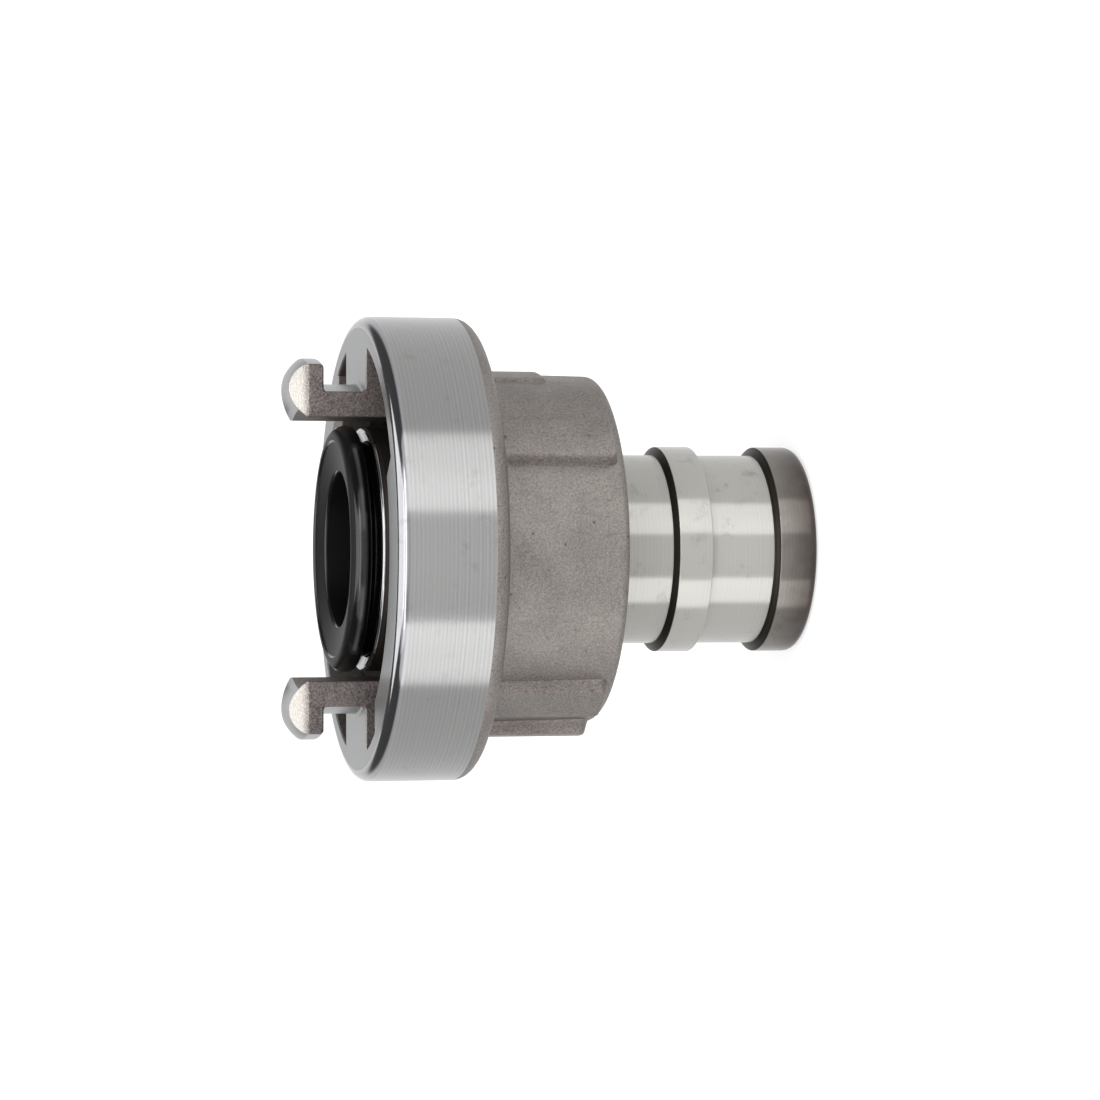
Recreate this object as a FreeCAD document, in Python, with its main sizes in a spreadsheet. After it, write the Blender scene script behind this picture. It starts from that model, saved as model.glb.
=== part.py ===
"""Quarter turn fire hose coupling, 25 mm size: claw ring, hose tail, seal and retaining wire.

The coupling stands on the end of its hose tail. Z runs along the waterway towards the claws, the
claws lie on the X axis, and all sizes are millimetres. Heights are measured up from the tail's end.
"""
import FreeCAD, Part
import math
import os
import Sketcher
from FreeCAD import Placement, Rotation, Vector

os.makedirs("parts", exist_ok=True)
doc = FreeCAD.newDocument("coupling")

# Driving sizes. The first group is the hose tail, then the ring, its claws, its hub and the seal.
# Lengths and depths of the ring, the hub and the wire are measured back from the ring's face.
SIZES = {
    "tail_radius": 11.28,
    "ridge_radius": 12.3,
    "ridge_flank": 0.55,
    "end_ridge_length": 4.6,
    "end_round": 0.9,
    "second_ridge_start": 12.9,
    "second_ridge_length": 4.0,
    "waterway_radius": 9.3,
    "waterway_chamfer": 0.6,
    "journal_radius": 13.4,
    "journal_land": 2.6,
    "head_radius": 14.4,
    "head_drop": 0.5,
    "face_height": 53.2,
    "ring_radius": 27.35,
    "ring_length": 12.9,
    "ring_front_round": 1.3,
    "ring_rear_round": 1.8,
    "rail_radius": 20.0,
    "rail_bevel_width": 1.4,
    "rail_bevel_depth": 0.7,
    "rail_thickness": 3.7,
    "ramp_rise": 1.0,
    "ramp_sweep": 96.0,
    "ramp_overlap": 2.0,
    "channel_radius": 24.5,
    "channel_depth": 9.8,
    "slot_width": 5.7,
    "mating_angle": 47.5,
    "mating_clearance": 0.7,
    "claw_width": 13.0,
    "claw_inner_radius": 16.55,
    "claw_stem_thickness": 2.8,
    "claw_reach": 8.4,
    "hook_gap": 4.9,
    "hook_radius": 22.35,
    "hook_root_round": 0.3,
    "hook_back_round": 0.45,
    "tip_crown_radius": 19.0,
    "tip_outer_drop": 1.7,
    "tip_inner_drop": 1.5,
    "tip_side_width": 3.6,
    "tip_side_drop": 1.7,
    "stem_fillet": 0.6,
    "hub_front_radius": 20.85,
    "hub_rear_radius": 20.6,
    "hub_length": 28.2,
    "hub_rear_round": 0.9,
    "hub_fillet": 1.2,
    "skirt_wall": 3.0,
    "skirt_bevel": 0.4,
    "collar_thickness": 6.5,
    "collar_depth": 13.7,
    "running_clearance": 0.05,
    "head_clearance": 0.5,
    "ring_float": 2.4,
    "float_gap": 0.05,
    "wire_diameter": 2.0,
    "wire_depth": 17.0,
    "wire_clearance": 0.1,
    "wire_opening": 14.0,
    "lug_radius": 22.27,
    "lug_draft": 0.2,
    "lug_length": 26.1,
    "lug_rear_round": 1.6,
    "lug_width": 4.8,
    "lug_side_draft": 0.55,
    "lug_angle": 54.9,
    "lug_pair_angle": 30.0,
    "pad_radius": 21.1,
    "pad_length": 21.5,
    "pad_rear_slope": 0.4,
    "pad_width": 14.0,
    "seat_depth": 5.5,
    "seat_radius": 13.2,
    "seat_lip_radius": 12.75,
    "seat_lip_thickness": 0.9,
    "rim_width": 0.5,
    "rim_chamfer_depth": 0.7,
    "seal_bore_radius": 9.1,
    "seal_neck_radius": 12.6,
    "seal_lip_radius": 14.5,
    "seal_reach": 2.9,
    "seal_lip_back": 0.75,
    "seal_lip_edge": 1.5,
    "seal_lip_rise": 0.4,
    "seal_heel_width": 0.3,
    "seal_heel_round": 0.6,
    "seal_outer_crown": 2.3,
    "seal_outer_round": 2.4,
    "seal_inner_crown": 2.1,
    "seal_inner_drop": 1.0,
    "seal_inner_round": 2.6,
    "seal_clearance": 0.08,
    "join_overlap": 0.5,
}

sheet = doc.addObject("Spreadsheet::Sheet", "Sizes")
for row, (alias, value) in enumerate(SIZES.items(), start=1):
    sheet.set(f"A{row}", alias)
    sheet.set(f"B{row}", str(value))
    sheet.setAlias(f"B{row}", alias)
doc.recompute()


def named(expression):
    """Turn size names in square brackets into references to the sheet."""
    return expression.replace("[", "Sizes.").replace("]", "")


def evaluate(expression):
    """The number that an expression gives with the sheet's values."""
    result = sheet.evalExpression(named(expression))
    return float(getattr(result, "Value", result))


def bind(sketch, constraint, expression):
    """Add a constraint whose value follows an expression of the sheet."""
    place = sketch.addConstraint(constraint)
    sketch.setExpression(f"Constraints[{place}]", named(expression))


def arc_between(start, end, radius, bulge):
    """The arc between two points that bulges to the left or the right of the way from start to end.

    A sketch keeps its arcs anticlockwise, so an arc that bulges to the left is drawn from its end.
    """
    chord = end - start
    depth = math.sqrt(max(radius ** 2 - (chord.Length / 2) ** 2, 0))
    left = Vector(-chord.y, chord.x, 0).normalize()
    centre = (start + end) * 0.5 + left * (depth if bulge == "right" else -depth)
    first, last = (start, end) if bulge == "right" else (end, start)
    from_angle = math.atan2(first.y - centre.y, first.x - centre.x)
    to_angle = math.atan2(last.y - centre.y, last.x - centre.x)
    if to_angle <= from_angle:
        to_angle += 2 * math.pi
    return Part.ArcOfCircle(Part.Circle(centre, Vector(0, 0, 1), radius), from_angle, to_angle)


def draw_outline(sketch, corners):
    """Draw a closed outline whose corners and arc radii are bound to the sheet.

    Each corner is (x, y) for a straight side to the next corner, or (x, y, radius, "left" or
    "right") for an arc to the next corner that bulges to that side.
    """
    points = [Vector(evaluate(corner[0]), evaluate(corner[1]), 0) for corner in corners]
    # The point numbers of a side: 1 is its first end and 2 its last end.
    ends = []
    for index, corner in enumerate(corners):
        start, end = points[index], points[(index + 1) % len(corners)]
        if len(corner) == 2:
            sketch.addGeometry(Part.LineSegment(start, end), False)
        else:
            sketch.addGeometry(arc_between(start, end, evaluate(corner[2]), corner[3]), False)
        ends.append((2, 1) if corner[-1] == "left" else (1, 2))
    for index in range(len(corners)):
        following = (index + 1) % len(corners)
        sketch.addConstraint(Sketcher.Constraint(
            "Coincident", index, ends[index][1], following, ends[following][0]))
    for index, corner in enumerate(corners):
        for kind, expression in (("DistanceX", corner[0]), ("DistanceY", corner[1])):
            bind(sketch, Sketcher.Constraint(kind, index, ends[index][0], evaluate(expression)),
                 expression)
        if len(corner) > 2:
            bind(sketch, Sketcher.Constraint("Radius", index, evaluate(corner[2])), corner[2])


SIDE_VIEW = Placement(Vector(0, 0, 0), Rotation(Vector(1, 0, 0), 90))
END_VIEW = Placement(Vector(0, 0, 0), Rotation(Vector(0, 0, 1), 0))
CROSS_VIEW = Placement(Vector(0, 0, 0), Rotation(Vector(1, 1, 1), 120))


def free_sketch(name, corners, placement):
    """A sketch of its own, outside any body."""
    sketch = doc.addObject("Sketcher::SketchObject", name)
    sketch.Placement = placement
    draw_outline(sketch, corners)
    return sketch


def turned_shape(name, corners):
    """A full revolution of a side-view outline about the Z axis."""
    turned = doc.addObject("Part::Revolution", name)
    turned.Source = free_sketch(name + "_outline", corners, SIDE_VIEW)
    turned.Axis = Vector(0, 0, 1)
    turned.Base = Vector(0, 0, 0)
    turned.Angle = 360
    turned.Solid = True
    return turned


def upright_shape(name, corners, start="0", length="[face_height]"):
    """An end-view outline drawn up along Z, from a height of the sheet."""
    shape = doc.addObject("Part::Extrusion", name)
    shape.Base = free_sketch(name + "_outline", corners, END_VIEW)
    shape.Base.setExpression("Placement.Base.z", named(start))
    shape.DirMode = "Custom"
    shape.Dir = Vector(0, 0, 1)
    shape.Solid = True
    shape.setExpression("LengthFwd", named(length))
    return shape


def overlap_of(name, first, second):
    """The common part of two shapes."""
    common = doc.addObject("Part::Common", name)
    common.Base = first
    common.Tool = second
    return common


def joined(name, shapes):
    """Several shapes joined into one."""
    group = doc.addObject("Part::MultiFuse", name)
    group.Shapes = shapes
    return group


def body_sketch(body, name, corners):
    """A side-view sketch inside a body."""
    sketch = body.newObject("Sketcher::SketchObject", name)
    side_planes = [item for item in body.Origin.OriginFeatures if item.Role == "XZ_Plane"]
    sketch.AttachmentSupport = [(side_planes[0], "")]
    sketch.MapMode = "FlatFace"
    draw_outline(sketch, corners)
    return sketch


def turned_body(name, corners, angle=None):
    """A body made by one revolution of a side-view outline about the Z axis."""
    body = doc.addObject("PartDesign::Body", name)
    sketch = body_sketch(body, name + "_outline", corners)
    turn = body.newObject("PartDesign::Revolution", name + "_turned")
    turn.Profile = sketch
    turn.ReferenceAxis = (sketch, ["V_Axis"])
    if angle is not None:
        turn.setExpression("Angle", named(angle))
    return body


# Heights and radii that several pieces share, as expressions of the sheet.
CHANNEL_FLOOR = "([face_height]-[channel_depth])"
RING_BACK = "([face_height]-[ring_length])"
RAIL_UNDERSIDE = "([face_height]-[rail_thickness])"
BORE = "([journal_radius]+[running_clearance])"
WIRE_MIDDLE = "([journal_radius]+[running_clearance]/2)"
HEAD_TOP = "([face_height]-[head_drop])"
HUB_REAR = "([face_height]-[hub_length])"
LUG_REAR = "([face_height]-[lug_length])"
PAD_REAR = "([face_height]-[pad_length])"
WIRE_HEIGHT = "([face_height]-[wire_depth])"
COLLAR_TOP = "([face_height]-[collar_depth])"
COLLAR_BACK = "([face_height]-[collar_depth]-[collar_thickness])"
FLANGE_BACK = "([face_height]-[collar_depth]+[ring_float]+[float_gap])"
TIP = "([face_height]+[claw_reach])"
HOOK_BACK = "([face_height]+[hook_gap])"
STEM_RADIUS = "([claw_inner_radius]+[claw_stem_thickness])"
SEAT_FLOOR = "([face_height]-[head_drop]-[seat_depth])"
SEAT_LIP_TOP = "([face_height]-[head_drop]-[rim_chamfer_depth])"
SEAT_LIP_BACK = "([face_height]-[head_drop]-[rim_chamfer_depth]-[seat_lip_thickness])"


def make_ring_blank():
    """The turned ring with its hub skirt, collar and rails, and the ramps under the rails."""
    skirt = "([hub_rear_radius]-[skirt_wall])"
    groove_half = "([wire_diameter]/2+[wire_clearance]/2)"
    groove = "(" + WIRE_MIDDLE + "+" + groove_half + ")"
    cup = "([head_radius]+[head_clearance])"
    blank = turned_body("ring_blank", [
        ("[rail_radius]+[rail_bevel_width]", "[face_height]"),
        ("[ring_radius]-[ring_front_round]", "[face_height]", "[ring_front_round]", "left"),
        ("[ring_radius]", "[face_height]-[ring_front_round]"),
        ("[ring_radius]", RING_BACK + "+[ring_rear_round]", "[ring_rear_round]", "left"),
        ("[ring_radius]-[ring_rear_round]", RING_BACK),
        ("[hub_front_radius]+[hub_fillet]", RING_BACK, "[hub_fillet]", "right"),
        ("[hub_front_radius]", RING_BACK + "-[hub_fillet]"),
        ("[hub_rear_radius]", HUB_REAR + "+[hub_rear_round]", "[hub_rear_round]", "left"),
        ("[hub_rear_radius]-[hub_rear_round]", HUB_REAR),
        (skirt + "+[skirt_bevel]", HUB_REAR),
        (skirt, HUB_REAR + "+[skirt_bevel]"),
        (skirt, COLLAR_BACK),
        (BORE, COLLAR_BACK),
        (BORE, WIRE_HEIGHT + "-" + groove_half),
        (groove, WIRE_HEIGHT + "-" + groove_half),
        (groove, WIRE_HEIGHT + "+" + groove_half),
        (BORE, WIRE_HEIGHT + "+" + groove_half),
        (BORE, COLLAR_TOP),
        (cup, COLLAR_TOP),
        (cup, CHANNEL_FLOOR),
        ("[channel_radius]", CHANNEL_FLOOR),
        ("[channel_radius]", RAIL_UNDERSIDE),
        ("[rail_radius]", RAIL_UNDERSIDE),
        ("[rail_radius]", "[face_height]-[rail_bevel_depth]"),
    ])
    add_ramps(blank)
    return blank


def add_ramps(body):
    """Helical ramps under the rails, which draw two couplings together as they are turned.

    The rail is thickest beside the run-out slot and thinnest where the mating claw enters.
    """
    low = "(" + RAIL_UNDERSIDE + "-[ramp_rise])"
    outline = body_sketch(body, "ramp_outline", [
        ("[rail_radius]", low),
        ("[channel_radius]+[join_overlap]", low),
        ("[channel_radius]+[join_overlap]", low + "+[ramp_overlap]"),
        ("[rail_radius]", low + "+[ramp_overlap]"),
    ])
    start = "180deg+asin([claw_width]/2/[channel_radius])"
    outline.AttachmentOffset = Placement(Vector(0, 0, 0), Rotation(Vector(0, 1, 0), 180))
    outline.setExpression("AttachmentOffset.Rotation.Angle", named(start))
    ramp = body.newObject("PartDesign::AdditiveHelix", "ramp")
    ramp.Profile = outline
    ramp.ReferenceAxis = (outline, ["V_Axis"])
    ramp.Mode = "pitch-height-angle"
    ramp.setExpression("Pitch", named("[ramp_rise]*360/[ramp_sweep]"))
    ramp.setExpression("Height", named("[ramp_rise]"))
    pair = body.newObject("PartDesign::PolarPattern", "ramp_pair")
    pair.Originals = [ramp]
    pair.Axis = (outline, ["V_Axis"])
    pair.Angle = 360
    pair.Occurrences = 2
    body.Tip = pair


def make_claws():
    """Both claws and the solid tabs under them: a turned section kept only in a straight band."""
    foot = CHANNEL_FLOOR + "-[join_overlap]"
    outside = "[channel_radius]+[join_overlap]"
    section = turned_shape("claw_section", [
        ("[claw_inner_radius]", foot),
        (outside, foot),
        (outside, "[face_height]"),
        (STEM_RADIUS + "+[stem_fillet]", "[face_height]", "[stem_fillet]", "left"),
        (STEM_RADIUS, "[face_height]+[stem_fillet]"),
        (STEM_RADIUS, HOOK_BACK + "-[hook_root_round]", "[hook_root_round]", "left"),
        (STEM_RADIUS + "+[hook_root_round]", HOOK_BACK),
        ("[hook_radius]-[hook_back_round]", HOOK_BACK, "[hook_back_round]", "right"),
        ("[hook_radius]", HOOK_BACK + "+[hook_back_round]"),
        ("[hook_radius]", TIP + "-[tip_outer_drop]",
         "(([hook_radius]-[tip_crown_radius])^2+[tip_outer_drop]^2)/(2*[tip_outer_drop])", "right"),
        ("[tip_crown_radius]", TIP,
         "(([tip_crown_radius]-[claw_inner_radius])^2+[tip_inner_drop]^2)/(2*[tip_inner_drop])", "right"),
        ("[claw_inner_radius]", TIP + "-[tip_inner_drop]"),
    ])
    half = "([claw_width]/2)"
    crown = "([claw_width]/2-[tip_side_width])"
    band = doc.addObject("Part::Extrusion", "claw_band")
    band.Base = free_sketch("claw_band_outline", [
        ("-" + half, CHANNEL_FLOOR + "-[claw_width]"),
        (half, CHANNEL_FLOOR + "-[claw_width]"),
        (half, TIP + "-[tip_side_drop]"),
        (crown, TIP),
        ("-" + crown, TIP),
        ("-" + half, TIP + "-[tip_side_drop]"),
    ], CROSS_VIEW)
    band.DirMode = "Custom"
    band.Dir = Vector(1, 0, 0)
    band.Solid = True
    band.setExpression("LengthFwd", named("[ring_radius]"))
    band.setExpression("LengthRev", named("[ring_radius]"))
    return overlap_of("claws", section, band)


def make_pockets():
    """The entry pockets and run-out slots that are cut through the two rails beside the claws."""
    half = "([claw_width]/2)"
    far = f"({half}+[slot_width])"
    beside_out = f"sqrt([channel_radius]^2-{half}^2)"
    beside_in = f"sqrt([claw_inner_radius]^2-{half}^2)"
    slot = [
        (beside_out, half),
        (beside_in, half),
        (beside_in, far),
        (f"sqrt([channel_radius]^2-{far}^2)", far, "[channel_radius]", "left"),
    ]
    # The far wall of an entry pocket is parallel to the flank of the mating claw that enters it.
    reach = "([claw_width]/2+[mating_clearance])"
    wall_x = f"({{0}}*cos([mating_angle]*1deg)-{reach}*sin([mating_angle]*1deg))"
    wall_y = f"(-{{0}}*sin([mating_angle]*1deg)-{reach}*cos([mating_angle]*1deg))"
    wall_out = f"sqrt([channel_radius]^2-{reach}^2)"
    wall_in = f"sqrt([claw_inner_radius]^2-{reach}^2)"
    entry = [
        (beside_out, "-" + half, "[channel_radius]", "left"),
        (wall_x.format(wall_out), wall_y.format(wall_out)),
        (wall_x.format(wall_in), wall_y.format(wall_in)),
        (beside_in, "-" + half),
    ]
    # The cutters start in the middle of the channel and end above the face.
    middle = CHANNEL_FLOOR + "/2+" + RAIL_UNDERSIDE + "/2"
    cutters = []
    for name, corners in (("entry_pocket", entry), ("runout_slot", slot)):
        cutter = upright_shape(name, corners, middle, "[channel_depth]")
        # A half turn about Z is a mirror in X followed by a mirror in Y.
        across = doc.addObject("Part::Mirroring", name + "_across")
        across.Source = cutter
        across.Normal = Vector(1, 0, 0)
        opposite = doc.addObject("Part::Mirroring", name + "_opposite")
        opposite.Source = across
        opposite.Normal = Vector(0, 1, 0)
        cutters += [cutter, opposite]
    return cutters


def make_claw_ring():
    """The forged ring with its rails, claws, hub and spanner lugs."""
    cut_ring = doc.addObject("Part::Cut", "ring_with_pockets")
    cut_ring.Base = make_ring_blank()
    cut_ring.Tool = joined("pocket_cutters", make_pockets())
    return joined("claw_ring", [cut_ring, make_claws(), make_lugs(), make_blank_field()])


def lug_outline(angle):
    """The end view of one spanner lug, with drafted sides, at an angle from the X axis."""
    base = "([hub_rear_radius]-[join_overlap])"
    top = "([lug_radius]+[join_overlap])"
    narrow = "([lug_width]/2)"
    wide = "([lug_width]/2+[lug_side_draft])"
    turned_x = "({0}*cos(({2})*1deg)+{1}*sin(({2})*1deg))"
    turned_y = "({1}*cos(({2})*1deg)-{0}*sin(({2})*1deg))"
    corners = [(base, "-" + wide), (top, "-" + narrow), (top, narrow), (base, wide)]
    return [(turned_x.format(out, across, angle), turned_y.format(out, across, angle))
            for out, across in corners]


def make_lugs():
    """Spanner lugs round the hub: bars kept inside a turned envelope with a rounded rear end."""
    root = "([hub_rear_radius]-[join_overlap])"
    envelope = turned_shape("lug_envelope", [
        (root, RING_BACK + "+[join_overlap]"),
        ("[lug_radius]", RING_BACK + "+[join_overlap]"),
        ("[lug_radius]-[lug_draft]", LUG_REAR + "+[lug_rear_round]", "[lug_rear_round]", "left"),
        ("[lug_radius]-[lug_draft]-[lug_rear_round]", LUG_REAR),
        (root, LUG_REAR),
    ])
    angles = ["[lug_angle]", "[lug_angle]+120", "[lug_angle]+240",
              "[lug_angle]+120-[lug_pair_angle]", "[lug_angle]+240-[lug_pair_angle]"]
    bars = [upright_shape(f"lug_bar_{number}", lug_outline(angle))
            for number, angle in enumerate(angles, start=1)]
    return overlap_of("lugs", envelope, joined("lug_bars", bars))


def make_blank_field():
    """The low plain field on one side of the hub."""
    root = "([hub_rear_radius]-[join_overlap])"
    envelope = turned_shape("field_envelope", [
        (root, RING_BACK + "+[join_overlap]"),
        ("[pad_radius]", RING_BACK + "+[join_overlap]"),
        ("[pad_radius]", PAD_REAR + "+[pad_rear_slope]"),
        ("[hub_rear_radius]", PAD_REAR),
        (root, PAD_REAR),
    ])
    band = upright_shape("field_band", [
        ("[head_radius]", "-[pad_width]/2"), ("[ring_radius]", "-[pad_width]/2"),
        ("[ring_radius]", "[pad_width]/2"), ("[head_radius]", "[pad_width]/2"),
    ])
    return overlap_of("blank_field", envelope, band)


def make_hose_tail():
    """The turned tail: two hose ridges, journal with a wide wire groove, head with the seal's seat."""
    groove_low = "(" + WIRE_HEIGHT + "-[wire_diameter]/2-[running_clearance])"
    groove_high = "(" + WIRE_HEIGHT + "+[wire_diameter]/2+[ring_float]+[float_gap])"
    groove_radius = "(" + WIRE_MIDDLE + "-[wire_diameter]/2-[wire_clearance]/2)"
    second_end = "([second_ridge_start]+[second_ridge_length])"
    land_start = "(" + groove_low + "-[journal_land])"
    return turned_body("hose_tail", [
        ("[waterway_radius]+[waterway_chamfer]", "0"),
        ("[ridge_radius]-[end_round]", "0", "[end_round]", "right"),
        ("[ridge_radius]", "[end_round]"),
        ("[ridge_radius]", "[end_ridge_length]"),
        ("[tail_radius]", "[end_ridge_length]+[ridge_flank]"),
        ("[tail_radius]", "[second_ridge_start]"),
        ("[ridge_radius]", "[second_ridge_start]"),
        ("[ridge_radius]", second_end),
        ("[tail_radius]", second_end + "+[ridge_flank]"),
        ("[tail_radius]", land_start + "-([journal_radius]-[tail_radius])"),
        ("[journal_radius]", land_start),
        ("[journal_radius]", groove_low),
        (groove_radius, groove_low),
        (groove_radius, groove_high),
        ("[journal_radius]", groove_high),
        ("[journal_radius]", FLANGE_BACK),
        ("[head_radius]", FLANGE_BACK),
        ("[head_radius]", HEAD_TOP),
        ("[head_radius]-[rim_width]", HEAD_TOP),
        ("[seat_lip_radius]", SEAT_LIP_TOP),
        ("[seat_lip_radius]", SEAT_LIP_BACK),
        ("[seat_radius]", SEAT_LIP_BACK),
        ("[seat_radius]", SEAT_FLOOR),
        ("[waterway_radius]", SEAT_FLOOR),
        ("[waterway_radius]", "[waterway_chamfer]"),
    ])


def make_seal():
    """The moulded seal: foot held under the seat's lip, neck and rounded front lip."""
    foot_radius = "([seat_radius]-[seal_clearance])"
    foot_top = "(" + SEAT_LIP_BACK + "-[seal_clearance])"
    front = "([face_height]+[seal_reach])"
    lip_back = "([face_height]+[seal_lip_back])"
    return turned_body("seal", [
        ("[seal_bore_radius]", SEAT_FLOOR),
        (foot_radius, SEAT_FLOOR),
        (foot_radius, foot_top),
        ("[seal_neck_radius]", foot_top),
        ("[seal_neck_radius]", lip_back + "-[seal_lip_rise]"),
        ("[seal_lip_radius]-[seal_heel_width]", lip_back, "[seal_heel_round]", "right"),
        ("[seal_lip_radius]", front + "-[seal_lip_edge]", "[seal_outer_round]", "right"),
        ("[seal_lip_radius]-[seal_outer_crown]", front),
        ("[seal_bore_radius]+[seal_inner_crown]", front, "[seal_inner_round]", "right"),
        ("[seal_bore_radius]", front + "-[seal_inner_drop]"),
    ])


def make_retaining_ring():
    """The open ring of round wire that joins claw ring and tail."""
    wire = "([wire_diameter]/2)"
    return turned_body("retaining_ring", [
        (WIRE_MIDDLE + "-" + wire, WIRE_HEIGHT, wire, "right"),
        (WIRE_MIDDLE, WIRE_HEIGHT + "-" + wire, wire, "right"),
        (WIRE_MIDDLE + "+" + wire, WIRE_HEIGHT, wire, "right"),
        (WIRE_MIDDLE, WIRE_HEIGHT + "+" + wire, wire, "right"),
    ], angle="(360-[wire_opening])*1deg")


NODES = {
    "claw_ring": make_claw_ring(),
    "hose_tail": make_hose_tail(),
    "seal": make_seal(),
    "retaining_ring": make_retaining_ring(),
}
doc.recompute()

for item in doc.Objects:
    if "Invalid" in item.State or "Error" in item.State:
        raise RuntimeError(f"{item.Name} did not build: {item.State}")
for name, item in NODES.items():
    if item.Shape.isNull() or not item.Shape.isValid() or len(item.Shape.Solids) != 1:
        raise RuntimeError(f"{name} is not one valid solid")
    box = item.Shape.BoundBox
    print(f"{name}: {item.Shape.Volume:.1f} mm3, z {box.ZMin:.2f} to {box.ZMax:.2f}")
    item.Shape.exportStep(f"parts/{name}.step")
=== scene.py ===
# %% [markdown]
# # A quarter turn fire hose coupling
#
# A coupling of this kind joins two fire hoses. Both ends are alike: two hooked claws stand on the
# face of a ring, and beside each claw a pocket lets the other coupling's claw in. A turn of the
# ring then slides the hooks under two rails. The ring is a casting whose outside and face are
# turned on a lathe, the tail is turned all over, and a rubber seal sits in the middle.
#
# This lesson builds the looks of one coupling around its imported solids. Every length is written
# in millimetres and turned to metres where a mesh is made, because Blender's unit is the metre.

# %% Load the frame
import math

import bmesh
import bpy
from mathutils import Matrix, Vector


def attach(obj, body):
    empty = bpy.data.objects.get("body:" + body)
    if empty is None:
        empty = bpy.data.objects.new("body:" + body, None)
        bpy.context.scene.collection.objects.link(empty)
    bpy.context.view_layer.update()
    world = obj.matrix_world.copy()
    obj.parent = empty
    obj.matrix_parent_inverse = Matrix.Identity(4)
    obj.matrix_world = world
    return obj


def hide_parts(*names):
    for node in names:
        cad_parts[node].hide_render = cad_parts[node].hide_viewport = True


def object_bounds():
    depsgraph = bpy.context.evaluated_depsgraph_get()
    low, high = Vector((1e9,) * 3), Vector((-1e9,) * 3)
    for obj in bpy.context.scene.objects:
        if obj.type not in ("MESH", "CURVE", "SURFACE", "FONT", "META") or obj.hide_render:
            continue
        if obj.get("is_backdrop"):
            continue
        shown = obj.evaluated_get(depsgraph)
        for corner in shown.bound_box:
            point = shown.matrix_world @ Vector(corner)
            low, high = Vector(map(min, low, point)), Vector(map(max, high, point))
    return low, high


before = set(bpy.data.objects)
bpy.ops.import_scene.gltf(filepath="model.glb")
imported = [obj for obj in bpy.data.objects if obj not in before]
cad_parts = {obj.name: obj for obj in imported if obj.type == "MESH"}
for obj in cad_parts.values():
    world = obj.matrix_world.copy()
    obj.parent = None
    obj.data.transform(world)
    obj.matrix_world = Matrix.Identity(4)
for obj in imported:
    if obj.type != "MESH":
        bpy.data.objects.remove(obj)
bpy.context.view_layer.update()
MM = 0.001
print("nodes:", sorted(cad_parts))

# %% [markdown]
# ## The camera
#
# The photograph was taken from the side with a long lens, and the coupling lies in it with its
# claws to the left. Here the coupling stands on its tail, so the camera is rolled a quarter turn:
# the picture's up is +X and its left is close to +Z. It looks down by about 13 degrees, which
# shows a narrow ellipse of the ring's face.

# %% Place the camera
TILT = math.radians(13.36)
SENSOR = 36.0
PICTURE = 1100
# The focal length in pixels of that picture.
FOCAL_PIXELS = 3500
CAMERA_PLACE = Vector((-0.11, -406.46, 126.2)) * MM

lens = bpy.data.cameras.new("camera")
lens.sensor_width = SENSOR
lens.lens = SENSOR * FOCAL_PIXELS / PICTURE
lens.clip_start = 0.01
camera = bpy.data.objects.new("camera", lens)
bpy.context.scene.collection.objects.link(camera)
right = Vector((0, -math.sin(TILT), -math.cos(TILT)))
up = Vector((1, 0, 0))
back = right.cross(up)
camera.matrix_world = Matrix.Translation(CAMERA_PLACE) @ Matrix(
    (right, up, back)).transposed().to_4x4()
bpy.context.scene.camera = camera
print("the camera looks along", tuple(round(value, 3) for value in -back))

# %% [markdown]
# ## Helpers for colours, nodes and meshes
#
# A colour picked on a screen is an sRGB value, while a shader works with linear light, so one
# function turns the first into the second. Another adds a shader node with its settings and its
# links in one call, which keeps each material readable from top to bottom.

# %% Colours and nodes
def linear(hex_colour):
    """Turn an sRGB colour such as "#a0a0a0" into linear red, green and blue, with an alpha of 1."""
    channels = [int(hex_colour[i:i + 2], 16) / 255 for i in (1, 3, 5)]
    return [c / 12.92 if c < 0.04045 else ((c + 0.055) / 1.055) ** 2.4 for c in channels] + [1.0]


def add_node(tree, kind, settings=None, inputs=None):
    """Add a shader node. An input is a value, or a (node, output name) pair to link from."""
    node = tree.nodes.new(kind)
    for name, value in (settings or {}).items():
        setattr(node, name, value)
    for name, value in (inputs or {}).items():
        if isinstance(value, tuple) and isinstance(value[0], bpy.types.Node):
            tree.links.new(value[0].outputs[value[1]], node.inputs[name])
        else:
            node.inputs[name].default_value = value
    return node


def new_material(name):
    """An empty node material, with its tree and its output node."""
    material = bpy.data.materials.new(name)
    material.use_nodes = True
    tree = material.node_tree
    tree.nodes.clear()
    return material, tree, tree.nodes.new("ShaderNodeOutputMaterial")


print("the colour #808080 is", [round(value, 3) for value in linear("#808080")])

# %% [markdown]
# A turned part is a side view that goes once round an axis. The side view is drawn here as one
# face with a few corners, some corners are rounded with a vertex bevel, and the outline is spun.
# That is how a lathe makes the real thing, and it keeps the mesh an even grid.

# %% Turned shapes
ROUND_STEPS = 6
CREASE = 18


def outline_face(shape, corners):
    """Draw a side view in the XZ plane. A corner is (radius, height) or (radius, height, rounding)."""
    points = [shape.verts.new((corner[0] * MM, 0, corner[1] * MM)) for corner in corners]
    shape.faces.new(points)
    for width in sorted({corner[2] for corner in corners if len(corner) > 2}):
        chosen = [point for point, corner in zip(points, corners) if corner[2:] == (width,)]
        bmesh.ops.bevel(shape, geom=chosen, offset=width * MM, offset_type="OFFSET",
                        affect="VERTICES", segments=ROUND_STEPS, profile=0.5, material=-1)


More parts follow.
